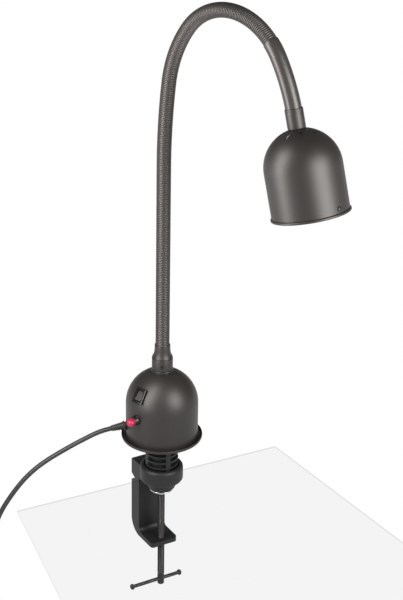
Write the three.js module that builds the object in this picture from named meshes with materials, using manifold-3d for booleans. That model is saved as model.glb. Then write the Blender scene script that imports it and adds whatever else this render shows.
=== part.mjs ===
// Clamp-on gooseneck heat lamp for keeping food warm.
// Millimetres, +Z up. The origin is the centre of the clamp's upper jaw face:
// +X runs along the jaw's width, +Y from the throat back to the spine.
import * as THREE from 'three';
import { mergeVertices } from 'three/addons/utils/BufferGeometryUtils.js';
import Module from 'manifold-3d';

const wasm = await Module();
wasm.setup();

// ---- driving dimensions ----
const GAP = 0.3;
const DEG = Math.PI / 180;

const JAW_HALF_WIDTH = 28;
const JAW_FRONT = -15;
const SPINE_FRONT = 38;
const SPINE_BACK = 67;
const EAR_TOP = 35;
const THROAT = 114;
const JAW_THICKNESS = 10;
const BOSS_R = 26;
const BOSS_TOP = 14;
const CUP_R = 40.5;
const CUP_TOP = 49;
const CUP_FLOOR = 38;
const CUP_BORE_R = 33;

const SCREW_R = 6.6;
const SCREW_END = -219;
const PAD_R = 22;
const PAD_TOP = -3.3;
const BAR_R = 3.5;
const BAR_Z = -208;
const BAR_LEFT = -60;
const BAR_RIGHT = 38.5;

const POST_R = 31;
const POST_CORE_R = 22;
const POST_TOP = 108;
const FIN_PITCH = 11.8;
const FIN_THICK = 4;
const BOLT_R = 5;

const PLATE_R = 75.3;
const PLATE_Z = 108.4;
const DOME_R = 67;
const DOME_C = 179;
const DOME_FOOT = 111.8;
const SHELL = 1.6;
const CONTROL_AZ = -163;
const SWITCH_EL = 30;
const PILOT_Z = 167;
const CORD_AZ = 159;
const CORD_EXIT_Z = 135;
const CORD_DROOP = 10;

const COLLAR_R = 19.3;
const COLLAR_FOOT = 249.3;
const COLLAR_TOP = 272;
const FERRULE_TOP = 297.5;

const ARM_AZ = -73;
const NECK_R = 12.8;
const NECK_BORE = 7;
const CORE_R = 11.3;
const SLEEVE_R = 13.6;
const NECK_START = 286;
const ARM_PATH = [
  { length: 352 },
  { radius: 1184.6, turn: 7.4 },
  { radius: 217.9, turn: 30.2 },
  { radius: 118.5, turn: 110.7 },
  { radius: 329.8, turn: 16.7 },
  { length: 200 },
];

const HEAD_FERRULE_R = 15;
const SHADE_R = 64.4;
const SHADE_TO_ARM = 83.7;
const SHADE_DEPTH = 79;
const VENT_COUNT = 8;
const VENT_TURN = 38;
const RIM_R = 66.4;
const RIM_HEIGHT = 5;
const BULB_R = 47.5;

const FLOOR_Z = -290;
const CORD_R = 4.5;
const COIL_R = 50;

// ---- materials ----
const mat = (color, roughness, metalness) =>
  new THREE.MeshStandardMaterial({ color, roughness, metalness });
const SATIN = [0x3c3937, 0.42, 0.2];
const CASTING = [0x323233, 0.5, 0.3];
const STEEL = [0x3a3a3c, 0.35, 0.9];
const BRIGHT = [0xb9bbbd, 0.3, 1];
const NECK = [0x2b2a2a, 0.45, 0.6];
const PLASTIC = [0x151516, 0.25, 0];
const RUBBER = [0x1b1b1c, 0.6, 0];
const RED = [0xd01838, 0.15, 0];
const WHITE = [0xe9e6df, 0.4, 0];
const BRASS = [0xb08d4a, 0.35, 1];
const GLASS = [0xf1ece4, 0.2, 0];

// ---- geometry helpers ----
function outward(geometry) {
  const p = geometry.attributes.position;
  const index = geometry.index.array;
  let volume = 0;
  const [a, b, c] = [new THREE.Vector3(), new THREE.Vector3(), new THREE.Vector3()];
  for (let i = 0; i < index.length; i += 3) {
    a.fromBufferAttribute(p, index[i]);
    b.fromBufferAttribute(p, index[i + 1]);
    c.fromBufferAttribute(p, index[i + 2]);
    volume += a.dot(b.cross(c));
  }
  if (volume < 0) {
    for (let i = 0; i < index.length; i += 3) {
      [index[i + 1], index[i + 2]] = [index[i + 2], index[i + 1]];
    }
  }
  return geometry;
}

// Rings of a (station, radius) profile carried along a path. A closed profile is a
// hollow tube; an open one starts and ends on the path itself.
function sweep(at, profile, sides, closed) {
  const points = [];
  const rings = profile.map(([s, r]) => {
    const { p, n, b } = at(s);
    const ring = [];
    const count = r < 1e-6 ? 1 : sides;
    for (let k = 0; k < count; k += 1) {
      const t = (2 * Math.PI * k) / sides;
      const q = p.clone().addScaledVector(n, r * Math.cos(t)).addScaledVector(b, r * Math.sin(t));
      ring.push(points.length / 3);
      points.push(q.x, q.y, q.z);
    }
    return ring;
  });
  const index = [];
  const last = closed ? rings.length : rings.length - 1;
  for (let i = 0; i < last; i += 1) {
    const lower = rings[i];
    const upper = rings[(i + 1) % rings.length];
    for (let k = 0; k < sides; k += 1) {
      const m = (k + 1) % sides;
      const [l0, l1] = [lower[k % lower.length], lower[m % lower.length]];
      const [u0, u1] = [upper[k % upper.length], upper[m % upper.length]];
      if (lower.length > 1) index.push(l0, l1, u0);
      if (upper.length > 1) index.push(lower.length > 1 ? l1 : l0, u1, u0);
    }
  }
  const geometry = new THREE.BufferGeometry();
  geometry.setAttribute('position', new THREE.Float32BufferAttribute(points, 3));
  geometry.setIndex(index);
  return outward(geometry);
}

const upAxis = (z) => ({
  p: new THREE.Vector3(0, 0, z),
  n: new THREE.Vector3(1, 0, 0),
  b: new THREE.Vector3(0, 1, 0),
});

// Turned pieces about the vertical axis, from (z, r) pairs.
const turned = (profile, sides = 28) => sweep(upAxis, profile, sides, false);
const turnedRing = (profile, sides = 28) => sweep(upAxis, profile, sides, true);
const rod = (r, z0, z1, sides = 18) => turned([[z0, 0], [z0, r], [z1, r], [z1, 0]], sides);

function tidy(geometry) {
  const g = geometry.clone();
  g.deleteAttribute('normal');
  g.deleteAttribute('uv');
  return outward(mergeVertices(g, 1e-4));
}

function solid(geometry) {
  const g = tidy(geometry);
  return new wasm.Manifold(new wasm.Mesh({
    numProp: 3,
    vertProperties: new Float32Array(g.attributes.position.array),
    triVerts: new Uint32Array(g.index.array),
  }));
}

function meshed(manifold) {
  const m = manifold.getMesh();
  const geometry = new THREE.BufferGeometry();
  geometry.setAttribute('position', new THREE.BufferAttribute(m.vertProperties, 3));
  geometry.setIndex(new THREE.BufferAttribute(m.triVerts, 1));
  return geometry;
}

function joined(first, ...rest) {
  return rest.reduce((sum, g) => sum.add(solid(g)), solid(first));
}

function cut(first, ...tools) {
  return tools.reduce((sum, g) => sum.subtract(solid(g)), first);
}

const moved = (geometry, matrix) => geometry.clone().applyMatrix4(matrix);

function box(x0, x1, y0, y1, z0, z1) {
  const g = new THREE.BoxGeometry(x1 - x0, y1 - y0, z1 - z0);
  return g.translate((x0 + x1) / 2, (y0 + y1) / 2, (z0 + z1) / 2);
}

function extruded(points, depth) {
  const shape = new THREE.Shape(points.map(([x, y]) => new THREE.Vector2(x, y)));
  return new THREE.ExtrudeGeometry(shape, { depth, bevelEnabled: false });
}

// A piece built along +Z from its own origin, set at a point and turned to face a direction.
function facing(point, direction, spin = 0) {
  const q = new THREE.Quaternion().setFromUnitVectors(
    new THREE.Vector3(0, 0, 1),
    direction.clone().normalize(),
  );
  const turn = new THREE.Quaternion().setFromAxisAngle(new THREE.Vector3(0, 0, 1), spin);
  return new THREE.Matrix4().compose(point, q.multiply(turn), new THREE.Vector3(1, 1, 1));
}

// Local +X stays level, local +Z points outward at the given azimuth and elevation.
function onDome(azimuth, elevation, point) {
  const z = new THREE.Vector3(
    Math.cos(elevation) * Math.cos(azimuth),
    Math.cos(elevation) * Math.sin(azimuth),
    Math.sin(elevation),
  );
  const x = new THREE.Vector3(-Math.sin(azimuth), Math.cos(azimuth), 0);
  const y = z.clone().cross(x);
  return new THREE.Matrix4().makeBasis(x, y, z).setPosition(point);
}

const lamp = new THREE.Group();

function add(name, geometry, look, parent = lamp) {
  const g = geometry.clone();
  g.computeVertexNormals();
  const mesh = new THREE.Mesh(g, mat(...look));
  mesh.name = name;
  parent.add(mesh);
  return mesh;
}

// ---- clamp casting: cup and boss on top, spine behind, threaded lower jaw ----
const side = [
  [SPINE_BACK, EAR_TOP], [SPINE_BACK, 3], [53, -4], [SPINE_BACK, -11],
  [SPINE_BACK, -92], [64, -103], [57, -113], [46, -121], [36, -THROAT - JAW_THICKNESS],
  [JAW_FRONT, -THROAT - JAW_THICKNESS], [JAW_FRONT, -THROAT], [28, -THROAT],
  [35, -111], [SPINE_FRONT, -104], [SPINE_FRONT, 4], [10, 4], [10, EAR_TOP],
];
const sideProfile = extruded(side, 2 * JAW_HALF_WIDTH);
sideProfile.applyMatrix4(new THREE.Matrix4().makeBasis(
  new THREE.Vector3(0, 1, 0),
  new THREE.Vector3(0, 0, 1),
  new THREE.Vector3(1, 0, 0),
));
sideProfile.translate(-JAW_HALF_WIDTH, 0, 0);
const w = JAW_HALF_WIDTH;
const plan = extruded([
  [-w, SPINE_BACK + 1], [-w, JAW_FRONT + 8], [-w + 2.5, JAW_FRONT + 2.5], [-w + 8, JAW_FRONT],
  [w - 8, JAW_FRONT], [w - 2.5, JAW_FRONT + 2.5], [w, JAW_FRONT + 8], [w, SPINE_BACK + 1],
], 200).translate(0, 0, -140);
const cup = turned([
  [0, 0], [0, BOSS_R - 1.5], [1.5, BOSS_R], [BOSS_TOP, BOSS_R], [BOSS_TOP + 3, CUP_R - 2],
  [BOSS_TOP + 6, CUP_R], [CUP_TOP - 6, CUP_R], [CUP_TOP - 2, CUP_R - 1.5], [CUP_TOP, CUP_R - 5],
  [CUP_TOP, CUP_BORE_R], [CUP_FLOOR, CUP_BORE_R], [CUP_FLOOR, 0],
], 28);
let casting = solid(sideProfile).intersect(solid(plan)).add(solid(cup));
casting = cut(
  casting,
  rod(CUP_BORE_R, CUP_FLOOR, CUP_TOP + 1, 28),
  rod(BOLT_R + 0.6, 12, CUP_FLOOR + 1, 14),
  rod(SCREW_R + GAP, -THROAT - JAW_THICKNESS - 1, -THROAT + 1, 20),
);
add('clamp_body', meshed(casting), CASTING);

// ---- clamp screw, swivel pad and sliding tommy bar ----
const screwSolid = cut(
  solid(turned([
    [SCREW_END, 0], [SCREW_END, SCREW_R - 1.2], [SCREW_END + 1.2, SCREW_R],
    [PAD_TOP - 13.4, SCREW_R], [PAD_TOP - 12, SCREW_R - 1.4], [PAD_TOP - 12, 4],
    [PAD_TOP - 5.4, 4], [PAD_TOP - 5.4, 0],
  ], 20)),
  moved(rod(BAR_R + GAP, -10, 10, 14), facing(
    new THREE.Vector3(0, 0, BAR_Z),
    new THREE.Vector3(1, 0, 0),
  )),
);
add('clamp_screw', meshed(screwSolid), STEEL);
add('swivel_pad', turned([
  [PAD_TOP, 0], [PAD_TOP, PAD_R - 1], [PAD_TOP - 0.6, PAD_R], [PAD_TOP - 3, PAD_R],
  [PAD_TOP - 3, 11], [PAD_TOP - 5.4, 9.5], [PAD_TOP - 11.6, 9.5], [PAD_TOP - 11.6, 4.3],
  [PAD_TOP - 5, 4.3], [PAD_TOP - 5, 0],
], 20), BRIGHT);

const alongX = new THREE.Matrix4().makeRotationY(Math.PI / 2);
const barZ = new THREE.Matrix4().makeTranslation(0, 0, BAR_Z);
const bar = moved(moved(rod(BAR_R, BAR_LEFT, BAR_RIGHT, 12), alongX), barZ);
add('tommy_bar', bar, STEEL);
const knob = (x0, sign) => {
  const g = turned([
    [0, 0], [0, 3.4], [0.8, 5.2], [3.2, 5.6], [5.4, 4.6], [6.6, 0],
  ], 12);
  const m = facing(new THREE.Vector3(x0, 0, BAR_Z), new THREE.Vector3(sign, 0, 0));
  return moved(g, m);
};
add('bar_knob_left', knob(BAR_LEFT - GAP, -1), STEEL);
add('bar_knob_right', knob(BAR_RIGHT + GAP, 1), STEEL);

// ---- finned stand-off between the clamp and the base ----
const finProfile = [[CUP_FLOOR + GAP, 0], [CUP_FLOOR + GAP, POST_CORE_R]];
for (let k = 0; k < 5; k += 1) {
  const z = 50.3 + k * FIN_PITCH;
  finProfile.push([z, POST_CORE_R], [z, POST_R], [z + FIN_THICK, POST_R]);
  finProfile.push([z + FIN_THICK, POST_CORE_R]);
}
finProfile.push([POST_TOP - 3, POST_CORE_R + 2], [POST_TOP, POST_CORE_R + 4], [POST_TOP, 0]);
let post = solid(turned(finProfile, 16));
for (let k = 0; k < 4; k += 1) {
  const web = box(POST_CORE_R - 4, POST_R - 0.6, -4.6, 4.6, CUP_FLOOR + 1, POST_TOP - 1);
  post = post.add(solid(web.rotateZ((-95 + 90 * k) * DEG)));
}
post = cut(post, rod(BOLT_R + 0.6, 0, 200, 14));
add('finned_post', meshed(post), CASTING);

// ---- stud that ties clamp, stand-off and base together ----
const hex = (r, z0, z1) => rod(r, z0, z1, 6);
add('post_stud', rod(BOLT_R, 12.6, 125, 14), BRIGHT);
add('post_washer', turnedRing([
  [111.7, BOLT_R + 0.5], [111.7, 12], [113.5, 12], [113.5, BOLT_R + 0.5],
], 20), BRIGHT);
add('post_nut', meshed(cut(solid(hex(9.2, 113.9, 121.9)), rod(BOLT_R + GAP, 110, 130, 14))), BRIGHT);

// ---- base pan and dome ----
const lugAngles = [-30, 90, 210];
const lugAt = (angle, r, z) => new THREE.Vector3(
  r * Math.cos(angle * DEG),
  r * Math.sin(angle * DEG),
  z,
);
let plate = solid(turnedRing([
  [PLATE_Z, BOLT_R + 0.6], [PLATE_Z, PLATE_R - 3], [PLATE_Z + 1, PLATE_R - 1],
  [PLATE_Z + 3, PLATE_R], [PLATE_Z + 6.6, PLATE_R], [PLATE_Z + 6.6, PLATE_R - 1.6],
  [PLATE_Z + 3, PLATE_R - 2], [PLATE_Z + 3, BOLT_R + 0.6],
], 24));
lugAngles.forEach((angle) => {
  plate = plate.subtract(solid(rod(2.5, 100, 116, 10).translate(...lugAt(angle, 59, 0))));
});
add('base_plate', meshed(plate), SATIN);

const domeOuter = (r) => DOME_C + Math.sqrt(DOME_R ** 2 - r ** 2);
const DOME_HOLE = 9.3;
const domeProfile = [[DOME_FOOT, DOME_R], [DOME_C, DOME_R]];
for (let k = 1; k <= 6; k += 1) {
  const t = (k / 6) * (90 - Math.asin(DOME_HOLE / DOME_R) / DEG) * DEG;
  domeProfile.push([DOME_C + DOME_R * Math.sin(t), DOME_R * Math.cos(t)]);
}
const inner = DOME_R - SHELL;
for (let k = 6; k >= 0; k -= 1) {
  const t = (k / 6) * (90 - Math.asin(DOME_HOLE / inner) / DEG) * DEG;
  domeProfile.push([DOME_C + inner * Math.sin(t), inner * Math.cos(t)]);
}
domeProfile.push([DOME_FOOT, inner]);
let dome = solid(turnedRing(domeProfile, 24));
lugAngles.forEach((angle) => {
  const lug = box(52, inner + 0.8, -7, 7, DOME_FOOT, DOME_FOOT + 9).rotateZ(angle * DEG);
  const hole = rod(2.3, 100, 130, 10).translate(...lugAt(angle, 59, 0));
  dome = dome.add(solid(lug)).subtract(solid(hole));
});
const ctrlAz = CONTROL_AZ * DEG;
const switchPoint = lugAt(CONTROL_AZ, DOME_R * Math.cos(SWITCH_EL * DEG), 0);
switchPoint.z = DOME_C + DOME_R * Math.sin(SWITCH_EL * DEG);
const switchM = onDome(ctrlAz, SWITCH_EL * DEG, switchPoint);
const pilotM = onDome(ctrlAz, 0, lugAt(CONTROL_AZ, DOME_R, PILOT_Z));
const cordDir = new THREE.Vector3(Math.cos(CORD_AZ * DEG), Math.sin(CORD_AZ * DEG), 0);
const glandM = onDome(CORD_AZ * DEG, -CORD_DROOP * DEG, lugAt(CORD_AZ, DOME_R, CORD_EXIT_Z));
dome = cut(
  dome,
  moved(box(-9.4, 9.4, -12.9, 12.9, -12, 6), switchM),
  moved(rod(6.8, -12, 6, 18), pilotM),
  moved(rod(7.3, -12, 6, 18), glandM),
);
add('base_dome', meshed(dome), SATIN);
lugAngles.forEach((angle, k) => {
  const screw = joined(rod(2, 105.6, 119, 10), turned([
    [105.2, 0], [105.2, 2.6], [106.2, 4.1], [108.1, 4.1], [108.1, 0],
  ], 14));
  const place = new THREE.Matrix4().setPosition(lugAt(angle, 59, 0));
  add(`base_screw_${k + 1}`, moved(meshed(screw), place), BRIGHT);
});

// ---- rocker switch, pilot light and cord exit ----
const housing = cut(
  joined(
    box(-11.5, 11.5, -15, 15, 1.4, 3.6),
    box(-9, 9, -12.5, 12.5, -18, 2),
  ),
  box(-6.9, 6.9, -10.6, 10.6, -7, 10),
);
add('switch_housing', moved(meshed(housing), switchM), PLASTIC);
const rockerShape = extruded([
  [-8.6, 2.4], [-8.6, 4.6], [-4, 3.2], [0, 2.6], [4, 1.8], [9.4, -0.6], [9.6, -3], [0, -5.5],
], 13);
const rocker = moved(rockerShape, new THREE.Matrix4().makeBasis(
  new THREE.Vector3(0, 1, 0),
  new THREE.Vector3(0, 0, 1),
  new THREE.Vector3(1, 0, 0),
).setPosition(-6.5, 0, 0));
add('switch_rocker', moved(rocker, switchM), PLASTIC);

add('pilot_bezel', moved(turnedRing([
  [-14, 4.9], [-14, 6.4], [0.6, 6.4], [0.6, 9.4], [2, 9.4], [3, 8.6], [10, 8.2], [10.6, 7.6],
  [10.6, 4.9],
], 18), pilotM), PLASTIC);
add('pilot_lens', moved(turned([
  [-10, 0], [-10, 4.5], [11, 4.5], [11, 7.4], [17.4, 7], [20.4, 5.2], [22, 0],
], 18), pilotM), RED);
add('pilot_clip', moved(turnedRing([
  [-5.6, 6.8], [-5.6, 10], [-3.4, 10], [-3.4, 6.8],
], 14), pilotM), BRIGHT);

add('cord_relief', moved(turnedRing([
  [-12, 4.9], [-12, 8.6], [-4.7, 8.6], [-4.7, 6.9], [2.3, 6.9], [2.3, 9.4], [4.4, 9.4], [5.6, 8],
  [14, 7.2], [28, 5.6], [28, 4.9],
], 14), glandM), RUBBER);
add('terminal_block', box(-30, 10, 14, 30, 112.2, 128), WHITE);

// ---- collar on top of the dome ----
const seat = (r, lift) => [domeOuter(r) + lift, r];
add('collar_washer', turnedRing([
  seat(9.4, GAP), seat(13, GAP), seat(17, GAP), seat(20.2, GAP),
  [COLLAR_FOOT - 1.6, 20.2], [COLLAR_FOOT - GAP, 19.6], [COLLAR_FOOT - GAP, 9.4],
], 18), STEEL);
let collar = solid(turnedRing([
  [229, 6], [229, 8.8], [COLLAR_FOOT, 8.8], [COLLAR_FOOT, COLLAR_R],
  [COLLAR_TOP - 1, COLLAR_R], [COLLAR_TOP, COLLAR_R - 1], [COLLAR_TOP, 14.6],
  [COLLAR_FOOT + 4, 14.6], [COLLAR_FOOT + 4, 6],
], 18));
const SET_Z = 260;
const setDir = new THREE.Vector3(Math.cos(-121 * DEG), Math.sin(-121 * DEG), 0);
const setAt = (r) => facing(setDir.clone().multiplyScalar(r).setZ(SET_Z), setDir);
collar = cut(collar, moved(rod(3, -6, 12, 12), setAt(14)));
add('collar', meshed(collar), SATIN);
const setScrew = cut(
  solid(turned([[0, 0], [0, 1.6], [0.8, 2.6], [5.4, 2.6], [5.4, 0]], 12)),
  hex(1.3, 3.2, 6),
);
add('set_screw', moved(meshed(setScrew), setAt(14.7)), STEEL);
add('collar_nut', meshed(cut(solid(hex(14, 231, 239)), rod(9.1, 220, 250, 20))), BRIGHT);

// ---- flexible arm, built in its own upright plane and turned to its azimuth ----
const arm = new THREE.Group();
arm.rotation.z = ARM_AZ * DEG;
lamp.add(arm);

function armPoint(s) {
  let [x, z, heading, left] = [0, NECK_START, 0, s];
  for (const piece of ARM_PATH) {
    const length = piece.length ?? piece.radius * piece.turn * DEG;
    const step = piece === ARM_PATH[ARM_PATH.length - 1] ? left : Math.min(left, length);
    if (piece.radius) {
      const turn = step / piece.radius;
      x += piece.radius * (Math.cos(heading) - Math.cos(heading + turn));
      z += piece.radius * (Math.sin(heading + turn) - Math.sin(heading));
      heading += turn;
    } else {
      x += step * Math.sin(heading);
      z += step * Math.cos(heading);
    }
    left -= step;
    if (left <= 0) break;
  }
  return {
    p: new THREE.Vector3(x, 0, z),
    n: new THREE.Vector3(Math.cos(heading), 0, -Math.sin(heading)),
    b: new THREE.Vector3(0, 1, 0),
  };
}
const arcLength = (piece) => piece.length ?? piece.radius * piece.turn * DEG;
const upTo = (n) => ARM_PATH.slice(0, n).reduce((sum, piece) => sum + arcLength(piece), 0);
const ARM_END = upTo(5);
const BEND = 118.5 * DEG;
const JOINTS = [
  345 - NECK_START,
  490 - NECK_START,
  upTo(1),
  upTo(3),
  upTo(3) + 45 * BEND,
  upTo(3) + 88 * BEND,
];
const SLEEVE_START = upTo(3) + 97 * BEND;
const HEAD_FERRULE_START = ARM_END - 13;

add('lower_ferrule', turnedRing([
  [COLLAR_FOOT + 4.4, NECK_BORE], [COLLAR_FOOT + 4.4, 14.2], [COLLAR_TOP + GAP, 14.2],
  [COLLAR_TOP + GAP, 18.8], [COLLAR_TOP + 2, 18.5], [COLLAR_TOP + 4, 17.3],
  [COLLAR_TOP + 8, 15.6], [COLLAR_TOP + 14, 14.6], [FERRULE_TOP, 14.2], [FERRULE_TOP, 13.2],
  [NECK_START - 1, 13.2], [NECK_START - 1, NECK_BORE],
], 16), SATIN, arm);

// A link starts as a shallow socket around the joint before it and ends as a ball.
const headingAt = (s) => {
  const { n } = armPoint(s);
  return Math.atan2(-n.z, n.x);
};
const bendBetween = (from, to) => headingAt(to) - headingAt(from);

function link(from, to, openStart, ballEnd) {
  const clear = NECK_R + 0.9;
  const outerR = (s) => (s > SLEEVE_START - 2 ? CORE_R : NECK_R);
  const profile = [];
  const seatAngles = [0.85, 1.1];
  if (openStart) {
    profile.push([from, NECK_R], [from, NECK_BORE]);
  } else {
    const rim = Math.sqrt(clear ** 2 - (NECK_R - 1) ** 2);
    profile.push([from + rim + 1.5, NECK_R], [from + rim + GAP, NECK_R - 1]);
    seatAngles.slice().reverse().forEach((t) => {
      const r = clear * Math.sin(t);
      if (r < NECK_R - 1.2 && r > NECK_BORE) profile.push([from + clear * Math.cos(t) + 0.2, r]);
    });
    profile.push([from + Math.sqrt(clear ** 2 - NECK_BORE ** 2) + 0.2, NECK_BORE]);
  }
  const outer = [];
  if (ballEnd) {
    outer.push([to + Math.sqrt(NECK_R ** 2 - NECK_BORE ** 2), NECK_BORE]);
    [0.85, 1.1, 1.35, Math.PI / 2].forEach((t) => {
      if (NECK_R * Math.sin(t) > NECK_BORE) {
        outer.push([to + NECK_R * Math.cos(t), NECK_R * Math.sin(t)]);
      }
    });
    outer.push([to - 7, NECK_R - 1], [to - 9, NECK_R]);
  } else {
    outer.push([to, NECK_BORE], [to, CORE_R]);
  }
  const steps = Math.max(1, Math.round(bendBetween(from, to) / (12 * DEG)));
  const start = profile[profile.length - 1][0];
  const stop = outer[0][0];
  for (let k = 1; k < steps; k += 1) {
    profile.push([start + ((stop - start) * k) / steps, NECK_BORE]);
  }
  profile.push(...outer);
  const outerStop = outer[outer.length - 1][0];
  const outerStart = profile[0][0];
  for (let k = steps - 1; k > 0; k -= 1) {
    const s = outerStart + ((outerStop - outerStart) * k) / steps;
    profile.push([s, outerR(s)]);
  }
  if (!ballEnd) profile.push([SLEEVE_START - 2, CORE_R], [SLEEVE_START - 4, NECK_R]);
  return sweep(armPoint, profile, 12, true);
}
const stops = [0, ...JOINTS, ARM_END + 14];
for (let k = 0; k < 7; k += 1) {
  add(`neck_${k + 1}`, link(stops[k], stops[k + 1], k === 0, k < 6), NECK, arm);
}

function armTube(from, to, outerR, innerR, steps, flare = 0) {
  const profile = [];
  for (let k = 0; k <= steps; k += 1) profile.push([from + ((to - from) * k) / steps, innerR]);
  for (let k = steps; k >= 0; k -= 1) {
    profile.push([from + ((to - from) * k) / steps, outerR - (k === 0 ? flare : 0)]);
  }
  return sweep(armPoint, profile, 14, true);
}
add('neck_sleeve', armTube(
  SLEEVE_START,
  HEAD_FERRULE_START - 1.5,
  SLEEVE_R,
  NECK_R,
  5,
  0.4,
), RUBBER, arm);

// ---- head, built about its own axis with +Z pointing out of the mouth ----
const end = armPoint(ARM_END);
const axis = new THREE.Vector3().crossVectors(end.n, end.b).negate();
if (axis.z > 0) axis.negate();
const head = new THREE.Group();
head.matrixAutoUpdate = true;
head.quaternion.setFromUnitVectors(new THREE.Vector3(0, 0, 1), axis);
head.position.copy(end.p).addScaledVector(axis, SHADE_TO_ARM);
arm.add(head);

const TOP = -SHADE_R;
const cap = (R, r) => -Math.sqrt(R * R - r * r);
add('head_ferrule', turnedRing([
  [-SHADE_TO_ARM - 13, NECK_R + GAP], [-SHADE_TO_ARM - 13, HEAD_FERRULE_R - 0.6],
  [-SHADE_TO_ARM - 12.4, HEAD_FERRULE_R], [cap(SHADE_R, 15) - 2.5, HEAD_FERRULE_R],
  [cap(SHADE_R, 15) - 1, HEAD_FERRULE_R - 1.2], [cap(SHADE_R, 13.8) - GAP, 13.6],
  [TOP - GAP, 6.6], [TOP - 4, 6.6], [TOP - 4, NECK_R + GAP],
], 16), SATIN, head);

const shadeInner = SHADE_R - SHELL;
const shadeProfile = [[SHADE_DEPTH - RIM_HEIGHT, SHADE_R], [0, SHADE_R]];
for (let k = 1; k <= 6; k += 1) {
  const t = (k / 6) * (90 - Math.asin(6.6 / SHADE_R) / DEG) * DEG;
  shadeProfile.push([-SHADE_R * Math.sin(t), SHADE_R * Math.cos(t)]);
}
for (let k = 6; k >= 0; k -= 1) {
  const t = (k / 6) * (90 - Math.asin(6.6 / shadeInner) / DEG) * DEG;
  shadeProfile.push([-shadeInner * Math.sin(t), shadeInner * Math.cos(t)]);
}
shadeProfile.push([SHADE_DEPTH - RIM_HEIGHT, shadeInner]);
let shade = solid(turnedRing(shadeProfile, 24));
for (let k = 0; k < VENT_COUNT; k += 1) {
  const slot = box(18.5, 35, -1.6, 1.6, -70, -40);
  shade = shade.subtract(solid(slot.rotateZ((VENT_TURN + (360 * k) / VENT_COUNT) * DEG)));
}
const rimAngles = [-176.5, 3.5];
const RIM_SCREW_Z = SHADE_DEPTH - RIM_HEIGHT - 7;
const rimScrewM = (angle) => onDome(angle * DEG, 0, lugAt(angle, SHADE_R, RIM_SCREW_Z));
rimAngles.forEach((angle) => {
  shade = shade.subtract(solid(moved(rod(2.3, -6, 6, 10), rimScrewM(angle))));
});
add('shade', meshed(shade), SATIN, head);

let rim = solid(turnedRing([
  [SHADE_DEPTH - 16, shadeInner - 1.9], [SHADE_DEPTH - 16, shadeInner - GAP],
  [SHADE_DEPTH - RIM_HEIGHT + GAP, shadeInner - GAP], [SHADE_DEPTH - RIM_HEIGHT + GAP, SHADE_R],
  [SHADE_DEPTH - 3.6, RIM_R - 0.6], [SHADE_DEPTH - 2, RIM_R], [SHADE_DEPTH - 0.4, RIM_R - 0.4],
  [SHADE_DEPTH, RIM_R - 1.4], [SHADE_DEPTH, shadeInner - 1.9],
], 24));
rimAngles.forEach((angle) => {
  rim = rim.subtract(solid(moved(rod(2.3, -8, 6, 10), rimScrewM(angle))));
});
add('rim_ring', meshed(rim), SATIN, head);
rimAngles.forEach((angle, k) => {
  const screw = cut(
    joined(rod(1.9, -7, 1, 10), turned([
      [0.35, 0], [0.35, 4.2], [1.4, 3.9], [2.6, 2.4], [2.9, 0],
    ], 14)),
    box(-2.6, 2.6, -0.45, 0.45, 2, 4),
  );
  add(`rim_screw_${k + 1}`, moved(meshed(screw), rimScrewM(angle)), BRIGHT, head);
});

// ---- lamp holder and reflector lamp inside the shade ----
add('head_nipple', turnedRing([
  [TOP - 3.4, 4], [TOP - 3.4, 6.1], [-44, 6.1], [-44, 4],
], 14), STEEL, head);
add('nipple_nut', meshed(cut(solid(hex(11, -60.4, -57)), rod(6.4, -70, -50, 14))), STEEL, head);
add('lamp_socket', turnedRing([
  [-56.6, 6.4], [-56.6, 14], [-52, 19], [-44, 20.5], [-14, 20.5], [-12, 19.5],
  [-12, 15.2], [-44.6, 15.2], [-44.6, 6.4],
], 18), WHITE, head);
add('bulb_base', turned([
  [-42, 0], [-42, 4], [-39, 9], [-37.5, 13], [-18, 13], [-16, 13.8], [-16, 0],
], 18), BRASS, head);
add('bulb_glass', turned([
  [-15.6, 0], [-15.6, 13], [-11, 14], [-5, 17], [6, 25], [24, 37.5], [40, 45], [50, BULB_R],
  [56, BULB_R], [60, 45.5], [62.6, 38], [64, 20], [64.4, 0],
], 20), GLASS, head);

// ---- supply cord: out of the dome, down to the floor, spare length coiled ----
const cordSide = new THREE.Vector3(-cordDir.y, cordDir.x, 0);
const RUN_END = 420;
const CORD_FLOOR = FLOOR_Z + CORD_R;
const runWaypoints = [
  [56, 136.9], [67, 135], [81, 132.5], [95, 130], [109, 126.8], [123, 122], [146, 111],
  [168, 99.5], [190, 87], [213, 73], [236, 56], [258, 34.5], [281, 4.5], [302, -30],
  [315, -62], [323, -98], [328, -136], [331, -174], [335, -208], [344, -240], [363, -267],
  [390, -282], [408, CORD_FLOOR], [RUN_END, CORD_FLOOR],
];
const runCurve = new THREE.CatmullRomCurve3(
  runWaypoints.map(([d, z]) => cordDir.clone().multiplyScalar(d).setZ(z)),
  false,
  'centripetal',
);
function alongRun(u) {
  const t = runCurve.getTangentAt(u);
  return { p: runCurve.getPointAt(u), n: cordSide.clone(), b: t.clone().cross(cordSide) };
}
const RUN_STEPS = 34;
const runProfile = [[0, 0]];
for (let k = 0; k <= RUN_STEPS; k += 1) runProfile.push([k / RUN_STEPS, CORD_R]);
runProfile.push([1, 0]);
add('cord_run', sweep(alongRun, runProfile, 8, false), RUBBER);

const coilCentre = cordDir.clone().multiplyScalar(RUN_END).addScaledVector(cordSide, -64.5);
const COIL_Z = FLOOR_Z + 1.6;
add('cord_coil', turnedRing([
  [COIL_Z, COIL_R - 7], [COIL_Z, COIL_R + 7], [COIL_Z + 2, COIL_R + 9],
  [COIL_Z + 16, COIL_R + 9], [COIL_Z + 18, COIL_R + 7], [COIL_Z + 18, COIL_R - 7],
  [COIL_Z + 16, COIL_R - 9], [COIL_Z + 2, COIL_R - 9],
], 22).translate(coilCentre.x, coilCentre.y, 0), RUBBER);

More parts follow.
